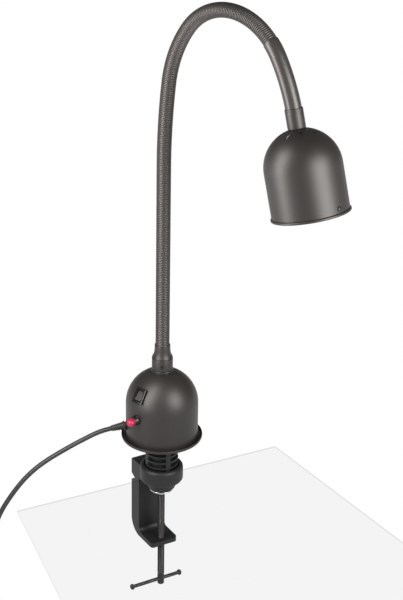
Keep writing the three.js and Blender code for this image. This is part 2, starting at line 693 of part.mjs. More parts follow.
const coilAt = (d, side, z) => new THREE.Vector3(coilCentre.x, coilCentre.y, z)
  .addScaledVector(cordDir, d)
  .addScaledVector(cordSide, side);
const frameAt = (point, x, y, z) => new THREE.Matrix4().makeBasis(x, y, z).setPosition(point);
const up = new THREE.Vector3(0, 0, 1);
const tie = cut(
  solid(box(COIL_R - 11.2, COIL_R + 11.2, -7, 7, FLOOR_Z + 0.1, COIL_Z + 19.4)),
  box(COIL_R - 10, COIL_R + 9.8, -8, 8, FLOOR_Z + 1.2, COIL_Z + 18.3),
);
add('coil_tie', moved(meshed(tie), frameAt(
  coilAt(0, 0, 0),
  cordDir,
  cordSide,
  up,
)), RUBBER);

const PLUG_Z = FLOOR_Z + 14.4;
const plugBack = cordDir.clone().negate();
const plugSide = cordSide.clone().negate();
const plugM = frameAt(coilAt(-46, -COIL_R - 4.5, PLUG_Z), plugSide, up, plugBack);
add('cord_tail', moved(rod(CORD_R, -13, 6, 10), plugM), RUBBER);
const plugBody = cut(
  joined(
    turned([[-1, 0], [-1, 6.4], [8, 8.6], [10, 13.6], [13, 14], [38, 14], [40, 12.8], [40, 0]], 18),
  ),
  rod(CORD_R + GAP, -2, 7, 12),
  box(-7.5, -5.2, -3.6, 3.6, 30, 42),
  box(5.2, 7.5, -3.6, 3.6, 30, 42),
  rod(2.8, 30, 42, 10).translate(0, 9, 0),
);
add('plug_body', moved(meshed(plugBody), plugM), RUBBER);
add('plug_blade_1', moved(box(-7.1, -5.6, -3.2, 3.2, 30.4, 57), plugM), BRASS);
add('plug_blade_2', moved(box(5.6, 7.1, -3.2, 3.2, 30.4, 57), plugM), BRASS);
add('plug_ground_pin', moved(rod(2.4, 30.4, 60, 10).translate(0, 9, 0), plugM), BRASS);

export default lamp;
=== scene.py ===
import math

import bmesh
import bpy
from mathutils import Matrix, Vector


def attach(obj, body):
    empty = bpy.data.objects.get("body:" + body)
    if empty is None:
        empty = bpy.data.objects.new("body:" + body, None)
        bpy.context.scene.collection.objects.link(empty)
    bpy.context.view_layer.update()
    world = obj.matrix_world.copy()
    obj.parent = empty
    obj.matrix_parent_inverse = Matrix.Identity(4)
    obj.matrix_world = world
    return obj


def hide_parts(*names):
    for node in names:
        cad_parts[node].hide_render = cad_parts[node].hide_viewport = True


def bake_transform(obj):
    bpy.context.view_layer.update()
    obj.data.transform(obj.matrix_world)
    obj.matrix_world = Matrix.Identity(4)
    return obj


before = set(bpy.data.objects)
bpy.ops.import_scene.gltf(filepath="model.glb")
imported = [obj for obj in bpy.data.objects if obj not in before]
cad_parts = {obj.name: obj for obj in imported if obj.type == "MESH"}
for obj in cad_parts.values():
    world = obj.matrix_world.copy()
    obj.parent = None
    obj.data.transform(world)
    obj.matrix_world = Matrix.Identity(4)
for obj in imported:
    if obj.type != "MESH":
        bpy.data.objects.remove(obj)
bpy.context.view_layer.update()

MM = 0.001
RAD = math.radians
Z = Vector((0, 0, 1))


# ---- the lamp's main sizes, in millimetres, as in the frame ----
DOME_R, DOME_C, DOME_FOOT, SHELL = 67.0, 179.0, 111.8, 1.6
CONTROL_AZ, SWITCH_EL, PILOT_Z = -163.0, 30.0, 167.0
CORD_AZ, CORD_EXIT_Z, CORD_DROOP, CORD_R = 159.0, 135.0, 10.0, 4.5
COLLAR_R, COLLAR_FOOT, COLLAR_TOP, FERRULE_TOP = 19.3, 249.3, 272.0, 297.5
ARM_AZ, NECK_R, SLEEVE_R, NECK_START = -73.0, 12.8, 13.6, 286.0
ARM_PATH = ((352.0, None), (1184.6, 7.4), (217.9, 30.2), (118.5, 110.7), (329.8, 16.7))
SHADE_R, SHADE_DEPTH, SHADE_TO_ARM, RIM_H, RIM_R = 64.4, 79.0, 83.7, 5.0, 66.4
VENTS, VENT_TURN = 8, 38
PAD_TOP, SCREW_END, SCREW_R, BAR_Z = -3.3, -219.0, 6.6, -208.0
FLOOR_Z, COIL_R = -290.0, 50.0


# ---- materials ----
def material(name, colour, rough, metal=0.0, slot=None, **more):
    m = bpy.data.materials.new(name)
    m.use_nodes = True
    b = m.node_tree.nodes["Principled BSDF"]
    b.inputs["Base Color"].default_value = (*colour, 1)
    b.inputs["Roughness"].default_value = rough
    b.inputs["Metallic"].default_value = metal
    for key, value in more.items():
        b.inputs[key.replace("_", " ")].default_value = value
    m["slot"] = slot or ""
    return m


def grain(m, scale, strength, distance=0.0001):
    """A fine procedural bump: powder coat, sand casting or moulded rubber."""
    t = m.node_tree
    coords = t.nodes.new("ShaderNodeTexCoord")
    noise = t.nodes.new("ShaderNodeTexNoise")
    noise.inputs["Scale"].default_value = scale
    noise.inputs["Detail"].default_value = 3
    bump = t.nodes.new("ShaderNodeBump")
    bump.inputs["Strength"].default_value = strength
    bump.inputs["Distance"].default_value = distance
    t.links.new(coords.outputs["Object"], noise.inputs["Vector"])
    t.links.new(noise.outputs["Fac"], bump.inputs["Height"])
    t.links.new(bump.outputs["Normal"], t.nodes["Principled BSDF"].inputs["Normal"])
    return m


SATIN = material(
    "satin black", (0.0105, 0.0085, 0.0078), 0.47, slot="satin_black", Specular_IOR_Level=0.5,
)
grain(SATIN, 1400, 0.2)
CASTING = material(
    "cast black", (0.008, 0.008, 0.009), 0.5, slot="casting", Specular_IOR_Level=0.35,
)
grain(CASTING, 500, 0.4, 0.0002)
STEEL = material("blackened steel", (0.03, 0.029, 0.029), 0.36, 0.6, slot="dark_steel")
grain(STEEL, 900, 0.15)
BRIGHT = material("zinc plate", (0.55, 0.55, 0.56), 0.3, 1.0, slot="bright_steel")
NECK = material("gooseneck wire", (0.05, 0.046, 0.044), 0.4, 0.5, slot="neck_steel")
SLEEVE = grain(material("shrink sleeve", (0.025, 0.022, 0.02), 0.36, slot="black_rubber"), 700, 0.2)
RUBBER = grain(material("cord rubber", (0.012, 0.012, 0.013), 0.48, slot="black_rubber"), 900, 0.3)
PLASTIC = material(
    "gloss plastic", (0.005, 0.005, 0.005), 0.3, slot="black_plastic", Specular_IOR_Level=0.3,
)
ROCKER = material("rocker plastic", (0.05, 0.044, 0.045), 0.14, slot="black_plastic")
LENS = material(
    "red lens", (0.3, 0.002, 0.03), 0.22, slot="red_lens",
    Emission_Color=(1.0, 0.02, 0.14, 1), Emission_Strength=0.07,
)
WHITE = material("porcelain", (0.78, 0.76, 0.71), 0.25, slot="porcelain")
BRASS = material("brass", (0.72, 0.5, 0.22), 0.3, 1.0, slot="brass")
GLASS = material("frosted lamp", (0.86, 0.84, 0.8), 0.22, slot="bulb_glass")
MIRROR = material("reflector coat", (0.8, 0.8, 0.81), 0.18, 1.0, slot="bulb_glass")


# ---- building blocks ----
def finish_piece(obj, mat, body=None, replaces=(), smooth=35):
    if not obj.data.materials:
        obj.data.materials.append(mat)
    if obj.type == "MESH":
        obj.data.shade_smooth()
        obj.data.set_sharp_from_angle(angle=RAD(smooth))
    if replaces:
        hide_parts(*replaces)
    if body:
        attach(obj, body)
    return obj


def mesh_object(name, verts, faces, matrix=None):
    me = bpy.data.meshes.new(name)
    me.from_pydata([Vector(v) * MM for v in verts], [], faces)
    bm = bmesh.new()
    bm.from_mesh(me)
    bmesh.ops.recalc_face_normals(bm, faces=bm.faces)
    bm.to_mesh(me)
    bm.free()
    if matrix:
        me.transform(matrix)
    me.update()
    obj = bpy.data.objects.new(name, me)
    bpy.context.scene.collection.objects.link(obj)
    return obj


def rings(name, at, profile, sides, closed, matrix=None):
    """Rings of a (station, radius) profile carried along a path given by at(station)."""
    verts, rows = [], []
    for s, r in profile:
        p, n, b = at(s)
        row = []
        for k in range(1 if r < 1e-6 else sides):
            t = 2 * math.pi * k / sides
            row.append(len(verts))
            verts.append(p + n * (r * math.cos(t)) + b * (r * math.sin(t)))
        rows.append(row)
    faces = []
    for i in range(len(rows) if closed else len(rows) - 1):
        low, high = rows[i], rows[(i + 1) % len(rows)]
        for k in range(sides):
            m = (k + 1) % sides
            a = [low[k % len(low)], low[m % len(low)], high[m % len(high)], high[k % len(high)]]
            face = [v for j, v in enumerate(a) if v not in a[:j]]
            if len(face) > 2:
                faces.append(face)
    return mesh_object(name, verts, faces, matrix)


def upright(z):
    return Vector((0, 0, z)), Vector((1, 0, 0)), Vector((0, 1, 0))


def turned(name, profile, sides=64, matrix=None, closed=False):
    return rings(name, upright, profile, sides, closed, matrix)


def block(name, x0, x1, y0, y1, z0, z1, bevel=0.0, matrix=None, segments=3):
    obj = mesh_object(
        name,
        [(x, y, z) for x in (x0, x1) for y in (y0, y1) for z in (z0, z1)],
        [(0, 1, 3, 2), (4, 6, 7, 5), (0, 4, 5, 1), (2, 3, 7, 6), (0, 2, 6, 4), (1, 5, 7, 3)],
    )
    if bevel:
        bm = bmesh.new()
        bm.from_mesh(obj.data)
        bmesh.ops.bevel(
            bm, geom=bm.edges[:], offset=bevel * MM, segments=segments, affect="EDGES", profile=0.5
        )
        bm.to_mesh(obj.data)
        bm.free()
    if matrix:
        obj.data.transform(matrix)
    return obj


def prism(name, outline, z0, z1, matrix=None, bevel=0.0, segments=2):
    n = len(outline)
    verts = [(x, y, z0) for x, y in outline] + [(x, y, z1) for x, y in outline]
    faces = [tuple(range(n)), tuple(range(n, 2 * n))]
    faces += [(k, (k + 1) % n, n + (k + 1) % n, n + k) for k in range(n)]
    obj = mesh_object(name, verts, faces)
    if bevel:
        bm = bmesh.new()
        bm.from_mesh(obj.data)
        edges = [e for e in bm.edges if e.is_manifold and e.calc_face_angle(0) > RAD(30)]
        bmesh.ops.bevel(
            bm, geom=edges, offset=bevel * MM, segments=segments, affect="EDGES", profile=0.5
        )
        bm.to_mesh(obj.data)
        bm.free()
    if matrix:
        obj.data.transform(matrix)
    return obj


def boolean(obj, tools, operation="DIFFERENCE"):
    for tool in tools:
        m = obj.modifiers.new("cut", "BOOLEAN")
        m.operation = operation
        m.solver = "EXACT"
        m.object = tool
    bpy.context.view_layer.update()
    result = obj.evaluated_get(bpy.context.evaluated_depsgraph_get())
    me = bpy.data.meshes.new_from_object(result)
    obj.modifiers.clear()
    obj.data = me
    for tool in tools:
        bpy.data.objects.remove(tool)
    return obj


def soften(obj, width, segments=2, angle=40):
    """A small live bevel on the sharp edges of a cut piece."""
    m = obj.modifiers.new("edge", "BEVEL")
    m.width = width * MM
    m.segments = segments
    m.limit_method = "ANGLE"
    m.angle_limit = RAD(angle)
    m.harden_normals = False
    return obj


def rod(name, r, z0, z1, sides=40, matrix=None, chamfer=0.0):
    c = chamfer
    profile = [(z0, 0), (z0, r - c), (z0 + c, r), (z1 - c, r), (z1, r - c), (z1, 0)]
    if not c:
        profile = [(z0, 0), (z0, r), (z1, r), (z1, 0)]
    return turned(name, profile, sides, matrix)


def hexagon(r):
    return [(r * math.cos(RAD(60 * k)), r * math.sin(RAD(60 * k))) for k in range(6)]


def basis(x, y, z, point=(0, 0, 0)):
    m = Matrix((x, y, z)).transposed().to_4x4()
    m.translation = Vector(point) * MM
    return m


def facing(point, direction):
    q = Z.rotation_difference(Vector(direction).normalized())
    return Matrix.Translation(Vector(point) * MM) @ q.to_matrix().to_4x4()


def polar(az, r, z):
    return Vector((r * math.cos(RAD(az)), r * math.sin(RAD(az)), z))


def on_dome(az, el, point):
    z = polar(az, math.cos(RAD(el)), math.sin(RAD(el)))
    x = Vector((-math.sin(RAD(az)), math.cos(RAD(az)), 0))
    return basis(x, z.cross(x), z, point)


def arc(cx, cy, r, a0, a1, steps):
    out = []
    for k in range(steps + 1):
        t = RAD(a0 + (a1 - a0) * k / steps)
        out.append((cx + r * math.cos(t), cy + r * math.sin(t)))
    return out


# ---- supply cord: one line from the dome down to the floor, coil, tie and plug ----
cord_dir = polar(CORD_AZ, 1, 0)
cord_side = Vector((-cord_dir.y, cord_dir.x, 0))
RUN = (
    (67, 135), (81, 132.5), (95, 130), (109, 126.8), (123, 122), (146, 111), (168, 99.5),
    (190, 87), (213, 73), (236, 56), (258, 34.5), (281, 4.5), (302, -30), (315, -62),
    (323, -98), (328, -136), (331, -174), (335, -208), (344, -240), (363, -267),
    (390, -282), (408, -285.5), (420, -285.5),
)


def smooth_line(points, step):
    """A centripetal Catmull-Rom line through the points, resampled at about one step."""
    pts = [Vector(p) for p in points]
    pts = [2 * pts[0] - pts[1], *pts, 2 * pts[-1] - pts[-2]]
    out = []
    for i in range(1, len(pts) - 2):
        p0, p1, p2, p3 = pts[i - 1 : i + 3]
        t0 = 0.0
        t1 = t0 + (p1 - p0).length ** 0.5
        t2 = t1 + (p2 - p1).length ** 0.5
        t3 = t2 + (p3 - p2).length ** 0.5
        n = max(2, int((p2 - p1).length / step))
        for k in range(n):
            t = t1 + (t2 - t1) * k / n
            a1 = p0 * ((t1 - t) / (t1 - t0)) + p1 * ((t - t0) / (t1 - t0))
            a2 = p1 * ((t2 - t) / (t2 - t1)) + p2 * ((t - t1) / (t2 - t1))
            a3 = p2 * ((t3 - t) / (t3 - t2)) + p3 * ((t - t2) / (t3 - t2))
            b1 = a1 * ((t2 - t) / (t2 - t0)) + a2 * ((t - t0) / (t2 - t0))
            b2 = a2 * ((t3 - t) / (t3 - t1)) + a3 * ((t - t1) / (t3 - t1))
            out.append(b1 * ((t2 - t) / (t2 - t1)) + b2 * ((t - t1) / (t2 - t1)))
    out.append(pts[-2])
    return out


def ease(v, low, high):
    t = min(1.0, max(0.0, (v - low) / (high - low)))
    return t * t * (3 - 2 * t)


coil_centre = cord_dir * 420 + cord_side * -64.5
TOP_LAYER_Z = FLOOR_Z + 15.1
line = smooth_line([cord_dir * d + Z * z for d, z in RUN], 7)
turns = 126
for k in range(1, turns + 1):
    a = 90 - 1260 * k / turns
    wound = 90 - a
    r = 64.5 - 10 * ease(wound, 0, 100) - 9 * ease(wound, 360, 460) + 9 * ease(wound, 900, 980)
    z = FLOOR_Z + 4.5 + 1.6 * ease(wound, 0, 60) + 9 * ease(wound, 640, 720)
    p = coil_centre + cord_dir * (r * math.cos(RAD(a))) + cord_side * (r * math.sin(RAD(a)))
    line.append(p + Z * z)
PLUG_Z = FLOOR_Z + 14.4
tail = coil_centre + cord_side * -54.5
for u in (8, 16, 24, 32, 40, 45):
    line.append(tail - cord_dir * u + Z * (TOP_LAYER_Z + (PLUG_Z - TOP_LAYER_Z) * ease(u, 0, 40)))

cord_curve = bpy.data.curves.new("supply_cord", "CURVE")
cord_curve.dimensions = "3D"
cord_curve.bevel_depth = CORD_R * MM
cord_curve.bevel_resolution = 3
cord_curve.use_fill_caps = True
spline = cord_curve.splines.new("POLY")
spline.points.add(len(line) - 1)
for point, p in zip(spline.points, line):
    point.co = (*(p * MM), 1)
spline.use_smooth = True
cord = bpy.data.objects.new("supply_cord", cord_curve)
bpy.context.scene.collection.objects.link(cord)
cord_curve.materials.append(RUBBER)
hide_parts("cord_run", "cord_coil", "cord_tail")
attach(cord, "base")

# a hook-and-loop tie round the coil's turns
def rounded_rect(x0, x1, y0, y1, r, steps=6):
    return (
        arc(x1 - r, y0 + r, r, -90, 0, steps) + arc(x1 - r, y1 - r, r, 0, 90, steps)
        + arc(x0 + r, y1 - r, r, 90, 180, steps) + arc(x0 + r, y0 + r, r, 180, 270, steps)
    )


tie_m = basis(cord_dir, Z, cord_side * -1, coil_centre)
outer = rounded_rect(COIL_R - 11, COIL_R + 11, FLOOR_Z + 0.1, FLOOR_Z + 20.9, 5)
inner_rect = rounded_rect(COIL_R - 9.8, COIL_R + 9.8, FLOOR_Z + 1.3, FLOOR_Z + 19.7, 4)
tie = prism("coil_tie_strap", outer, -7, 7)
tie = boolean(tie, [prism("t", inner_rect, -8, 8)])
flap = block("f", COIL_R - 7, COIL_R + 6, FLOOR_Z + 20.7, FLOOR_Z + 22.0, -7, 7, 0.4)
tie = boolean(tie, [flap], "UNION")
tie.data.transform(tie_m)
finish_piece(tie, SLEEVE, "base", ["coil_tie"])

plug_m = basis(cord_side * -1, Z, cord_dir * -1, tail - cord_dir * 46 + Z * PLUG_Z)
plug = turned("plug_moulding", [
    (-1, 0), (-1, 4.9), (-0.6, 5.4), (2, 5.6), (3, 6.8), (4.4, 6.8), (5, 5.9), (6.4, 6), (7, 7.4),
    (8.4, 7.6), (9, 6.6), (10.4, 6.9), (11.5, 10), (12.5, 12.6), (14, 13.7), (16, 14), (34, 14),
    (37, 13.8), (39, 13.2), (40, 12), (40, 0),
], 48, plug_m)
grips = []
for k in range(5):
    for side in (-1, 1):
        x = 15.2 * side
        grips.append(
            block("g", x - 1.8, x + 1.8, -8, 8, 17 + 3.6 * k, 18.4 + 3.6 * k, matrix=plug_m)
        )
plug = boolean(plug, grips)
finish_piece(soften(plug, 0.25), RUBBER, "base", ["plug_body"])
for k, x in enumerate((-6.35, 6.35)):
    blade = block("plug_blade", x - 0.75, x + 0.75, -3.2, 3.2, 32, 57, 0.35, None, 2)
    hole_m = Matrix.Translation((x * MM, 0, 0.054)) @ Matrix.Rotation(RAD(90), 4, "Y")
    blade = boolean(blade, [rod("h", 1.6, -3, 3, 20, hole_m)])
    blade.data.transform(plug_m)
    finish_piece(blade, BRASS, "base", [f"plug_blade_{k + 1}"])
pin = turned("plug_ground", [
    (31, 0), (31, 2.4), (56.5, 2.4), (58.5, 2.0), (59.6, 1.1), (60, 0),
], 24, plug_m @ Matrix.Translation((0, 0.009, 0)))
finish_piece(pin, BRASS, "base", ["plug_ground_pin"])

# moulded strain relief: tapered and slotted
gland_m = on_dome(CORD_AZ, -CORD_DROOP, cord_dir * DOME_R + Z * CORD_EXIT_Z)
profile = [
    (-6, 4.7), (-6, 8.4), (-4.7, 8.6), (-4.7, 6.9), (2.3, 6.9), (2.3, 9.4), (3.9, 9.4), (4.4, 9),
]
for k in range(6):
    z, r = 5.4 + 3.8 * k, 7.7 - 0.36 * k
    profile += [(z, r), (z + 2.4, r - 0.2), (z + 2.5, r - 1.2), (z + 3.6, r - 1.25)]
profile += [(28, 5.5), (28.3, 5.2), (28.3, 4.7)]
relief = turned("strain_relief", profile, 40, gland_m, closed=True)
finish_piece(relief, RUBBER, "base", ["cord_relief"])

# ---- dome, pan and fasteners ----
def dome_profile(r_out, r_in, centre, foot, hole, steps=28):
    top_out, top_in = math.degrees(math.acos(hole / r_out)), math.degrees(math.acos(hole / r_in))
    outside = [(centre + r_out * math.sin(RAD(top_out * k / steps)),
                r_out * math.cos(RAD(top_out * k / steps))) for k in range(steps + 1)]
    inside = [(centre + r_in * math.sin(RAD(top_in * k / steps)),
               r_in * math.cos(RAD(top_in * k / steps))) for k in range(steps, -1, -1)]
    return [(foot, r_out), *outside, *inside, (foot, r_in)]


switch_out, switch_up = DOME_R * math.cos(RAD(SWITCH_EL)), DOME_R * math.sin(RAD(SWITCH_EL))
switch_at = polar(CONTROL_AZ, switch_out, DOME_C + switch_up)
switch_m = on_dome(CONTROL_AZ, SWITCH_EL, switch_at)
pilot_m = on_dome(CONTROL_AZ, 0, polar(CONTROL_AZ, DOME_R, PILOT_Z))
LUGS, LUG_R = (-30, 90, 210), 59
profile = dome_profile(DOME_R, DOME_R - SHELL, DOME_C, DOME_FOOT, 9.3)
dome = turned("base_shell", profile, 128, closed=True)
dome = boolean(dome, [
    block("c", -9.4, 9.4, -12.9, 12.9, -14, 6, matrix=switch_m),
    rod("c", 6.8, -12, 6, 40, pilot_m),
    rod("c", 7.3, -12, 6, 40, gland_m),
])
finish_piece(dome, SATIN, "base", ["base_dome"])
for angle in LUGS:
    lug = block("base_lug", 52, DOME_R - SHELL - 0.4, -7, 7, DOME_FOOT, DOME_FOOT + 9, 0.5,
                Matrix.Rotation(RAD(angle), 4, "Z"))
    hole_at = Matrix.Translation(polar(angle, LUG_R, 0) * MM)
    lug = boolean(lug, [rod("h", 2.3, 100, 130, 20, hole_at)])
    finish_piece(lug, SATIN, "base")

pan = turned("base_pan", [
    (108.4, 5.6), (108.4, 71.5), (108.8, 73.2), (109.8, 74.6), (111.4, 75.3), (114.2, 75.3),
    (114.8, 75.1), (115.0, 74.6), (114.8, 74.0), (114.2, 73.7), (112.4, 73.5), (111.6, 72.8),
    (111.4, 71.8), (111.4, 5.6),
], 128, closed=True)
pan = boolean(pan, [
    rod("h", 2.5, 100, 116, 20, Matrix.Translation(polar(a, LUG_R, 0) * MM)) for a in LUGS
])
finish_piece(pan, SATIN, "base", ["base_plate"])


def pan_head(name, r, h, depth=1.1):
    """A pan head with a cross recess, standing on z = 0."""
    head = turned(name, [
        (0, 0), (0, r - 0.1), (0.15, r), (h * 0.45, r * 0.97), (h * 0.8, r * 0.75),
        (h, r * 0.4), (h, 0),
    ], 32)
    arm_x = block("a", -r * 0.5, r * 0.5, -0.45, 0.45, h - depth, h + 1)
    arm_y = block("a", -0.45, 0.45, -r * 0.5, r * 0.5, h - depth, h + 1)
    return boolean(head, [arm_x, arm_y])


for k, angle in enumerate(LUGS):
    head = pan_head("base_screw_head", 4.1, 2.9)
    head_at = Matrix.Translation(polar(angle, LUG_R, 108.1) * MM)
    head.data.transform(head_at @ Matrix.Rotation(RAD(180), 4, "X"))
    shank_at = Matrix.Translation(polar(angle, LUG_R, 0) * MM)
    shank = rod("base_screw_shank", 2, 107, 119, 20, shank_at, 0.5)
    finish_piece(head, BRIGHT, "base", [f"base_screw_{k + 1}"])
    finish_piece(shank, BRIGHT, "base")

terminal = block("terminals", -30, 10, 14, 30, 112.2, 126, 0.8)
wells = [rod("w", 2.4, 118, 130, 20, Matrix.Translation(Vector((x, y, 0)) * MM))
         for x in (-24, -10, 4) for y in (18, 26)]
terminal = boolean(terminal, wells)
finish_piece(terminal, WHITE, "base", ["terminal_block"])
nut = prism("stud_nut", hexagon(9.2), 113.9, 121.9, bevel=0.5)
nut = boolean(nut, [rod("h", 5.15, 110, 126, 24)])
finish_piece(nut, BRIGHT, "base", ["post_nut"])
stud = turned("stud", [(12.6, 0), (12.6, 5), (124.2, 5), (125, 4.2), (125, 0)], 32)
finish_piece(stud, BRIGHT, "base", ["post_stud"])
washer = turned("stud_washer", [
    (111.6, 5.4), (111.6, 12), (113.4, 12), (113.4, 5.4),
], 40, closed=True)
finish_piece(washer, BRIGHT, "base", ["post_washer"])

# ---- rocker switch and pilot light ----
bezel = prism("switch_frame", rounded_rect(-11.5, 11.5, -15, 15, 1.6), 1.0, 3.6, bevel=0.6)
bezel = boolean(bezel, [block("b", -9, 9, -12.5, 12.5, -18, 1.6, 0.4, None, 1)], "UNION")
bezel = boolean(bezel, [block("w", -6.9, 6.9, -10.6, 10.6, -7, 10)])
bezel.data.transform(switch_m)
finish_piece(bezel, PLASTIC, "base", ["switch_housing"])
rocker_outline = [
    (-8.6, 1.6), (-8.6, 4.1), (-8.2, 4.6), (-7.6, 4.5), (-6, 3.7), (-4, 3.0), (-2, 2.5), (0, 2.1),
    (2, 1.9), (4, 1.7), (6, 1.2), (8, 0.4), (9.2, -0.5), (9.5, -1.2), (9.4, -3), (5, -4.6),
    (0, -5.5), (-5, -3.2),
]
rocker_m = basis(Vector((0, 1, 0)), Vector((0, 0, 1)), Vector((1, 0, 0)))
rocker = prism("rocker", rocker_outline, -6.4, 6.4, rocker_m, bevel=0.35)
mark = turned("m", [(-0.6, 1.5), (-0.6, 2.1), (0.6, 2.1), (0.6, 1.5)], 24, closed=True)
mark.data.transform(Matrix.Translation((0, 0.0068, 0.0009)))
rocker = boolean(rocker, [mark, block("m", -0.35, 0.35, -6.6, -3.4, 3.0, 9)])
rocker.data.transform(switch_m)
finish_piece(rocker, ROCKER, "rocker", ["switch_rocker"])

pilot = turned("pilot_frame", [
    (-14, 4.9), (-14, 6.4), (0.2, 6.4), (0.2, 9.1), (0.5, 9.4), (1.8, 9.4), (2.6, 8.8),
    (3.2, 8.4), (9.6, 8.2), (10.3, 7.9), (10.6, 7.4), (10.6, 4.9),
], 48, pilot_m, closed=True)
finish_piece(pilot, PLASTIC, "base", ["pilot_bezel"])
lens = turned("pilot_lens_cap", [
    (-10, 0), (-10, 4.5), (10.8, 4.5), (11, 7.3), (15.6, 7.2), (18, 6.7), (19.8, 5.6),
    (21.1, 3.9), (21.8, 2.0), (22, 0),
], 48, pilot_m)
finish_piece(lens, LENS, "base", ["pilot_lens"])
clip = turned("pilot_spring_clip", [
    (-5.6, 6.6), (-5.6, 9.6), (-3.6, 9.9), (-3.6, 6.6),
], 32, pilot_m, closed=True)
finish_piece(clip, BRIGHT, "base", ["pilot_clip"])


# ---- collar, washer and set screw ----
def seat(r, lift):
    return DOME_C + math.sqrt(DOME_R ** 2 - r * r) + lift, r


foot = turned("collar_foot_ring", [
    seat(9.4, 0.05), seat(13, 0.05), seat(17, 0.05), seat(20, 0.05), (247.2, 20.5), (248.2, 20.5),
    (248.8, 20.1), (249.0, 19.6), (249.0, 9.4),
], 80, closed=True)
finish_piece(foot, STEEL, "base", ["collar_washer"])
collar = turned("swivel_collar", [
    (229, 6), (229, 8.6), (229.4, 8.8), (249.1, 8.8), (249.1, 18.7), (249.7, 19.3), (271.0, 19.3),
    (271.7, 19.0), (272.0, 18.3), (272.0, 14.6), (253.3, 14.6), (253.3, 6),
], 80, closed=True)
set_dir = polar(-121, 1, 0)
collar = boolean(collar, [rod("h", 3, 0, 12, 32, facing(set_dir * 14 + Z * 260, set_dir))])
finish_piece(collar, SATIN, "base", ["collar"])
setter = turned("set_screw_body", [
    (0, 0), (0, 1.6), (0.8, 2.7), (4.9, 2.7), (5.3, 2.3), (5.3, 0),
], 32)
setter = boolean(setter, [prism("x", hexagon(1.4), 3, 7)])
setter.data.transform(facing(set_dir * 13.6 + Z * 260, set_dir))
finish_piece(setter, STEEL, "base", ["set_screw"])
lock = prism("collar_locknut", hexagon(14), 231, 238.8, bevel=0.6)
lock = boolean(lock, [rod("h", 8.9, 220, 250, 40)])
finish_piece(lock, BRIGHT, "base", ["collar_nut"])

# ---- finned stand-off ----
fins = [(38.3, 0), (38.3, 22)]
for k in range(5):
    z = 50.3 + 11.8 * k
    fins += [(z - 0.8, 22), (z, 22.8), (z + 0.1, 30.4), (z + 0.5, 30.9), (z + 1.2, 31)]
    fins += [(z + 2.8, 31), (z + 3.5, 30.9), (z + 3.9, 30.4), (z + 4, 22.8), (z + 4.8, 22)]
fins += [(105, 24), (107.8, 26), (107.8, 0)]
post = turned("finned_stand_off", fins, 96)
webs = [block("w", 18, 30.4, -4.6, 4.6, 39, 107, 0.6, Matrix.Rotation(RAD(-95 + 90 * k), 4, "Z"))
        for k in range(4)]
post = boolean(post, webs, "UNION")
post = boolean(post, [rod("h", 5.6, 30, 120, 32)])
finish_piece(post, CASTING, "base", ["finned_post"], 30)

# ---- clamp casting ----
side = (
    [(67, 33.5), (66.4, 34.6), (65.4, 35), (10, 35), (10, 4), (38, 4)]
    + arc(28, -104, 10, 0, -90, 8) + [(-13.6, -114), (-14.6, -114.5), (-15, -115.6)]
    + [(-15, -122.4), (-14.5, -123.5), (-13.4, -124), (36, -124)] + arc(36, -93, 31, -90, 0, 14)
    + [(67, -12.5), (66, -10.6), (54.2, -4.6), (53.6, -3.7), (54.2, -2.9), (66, 2.4), (67, 4.2)]
)
side_m = basis(Vector((0, 1, 0)), Vector((0, 0, 1)), Vector((1, 0, 0)))
frame_c = prism("clamp_casting", side, -28, 28, side_m)
plan = (
    [(28, 90), (-28, 90), (-28, -7)] + arc(-20, -7, 8, 180, 270, 8)[1:]
    + arc(20, -7, 8, 270, 360, 8)
)
frame_c = boolean(frame_c, [prism("p", plan, -140, 60)], "INTERSECT")
cup_profile = [
    (0, 0), (0, 24.6), (0.5, 25.6), (1.6, 26), (13, 26), (14.6, 27), (15.2, 29), (16, 35),
    (17.4, 38.4), (20, 40.2), (22, 40.5), (42, 40.5), (45, 40), (47.2, 38.6), (48.6, 36.4),
    (49, 34.5), (49, 33), (38, 33), (38, 0),
]
frame_c = boolean(frame_c, [turned("cup", cup_profile, 96)], "UNION")
frame_c = boolean(frame_c, [
    rod("h", 33, 38, 60, 96),
    rod("h", 5.6, 12, 45, 32),
    rod("h", SCREW_R + 0.15, -130, -105, 40),
])
finish_piece(soften(frame_c, 1.1, 3, 38), CASTING, "base", ["clamp_body"], 32)


# ---- clamp screw with its rolled thread ----
def thread(name, r, core, z0, z1, pitch, steps, sides):
    """A helical thread: one grid wound round the axis, closed with flat ends."""
    verts, faces = [], []
    rows = int((z1 - z0) / pitch * steps)
    for i in range(rows + 1):
        z = z0 + (z1 - z0) * i / rows
        for k in range(sides):
            t = 2 * math.pi * k / sides
            phase = (z / pitch - k / sides) % 1.0
            depth = abs(2 * phase - 1)
            fade = min(1.0, (z - z0) / 2, (z1 - z) / 2)
            rr = core + (r - core) * min(1.0, max(0.0, 1.6 * depth - 0.3)) * fade
            verts.append((rr * math.cos(t), rr * math.sin(t), z))
    for i in range(rows):
        for k in range(sides):
            m = (k + 1) % sides
            faces.append((i * sides + k, i * sides + m, (i + 1) * sides + m, (i + 1) * sides + k))
    faces.append(tuple(range(sides)))
    faces.append(tuple(range(rows * sides, (rows + 1) * sides)))
    return mesh_object(name, verts, faces)


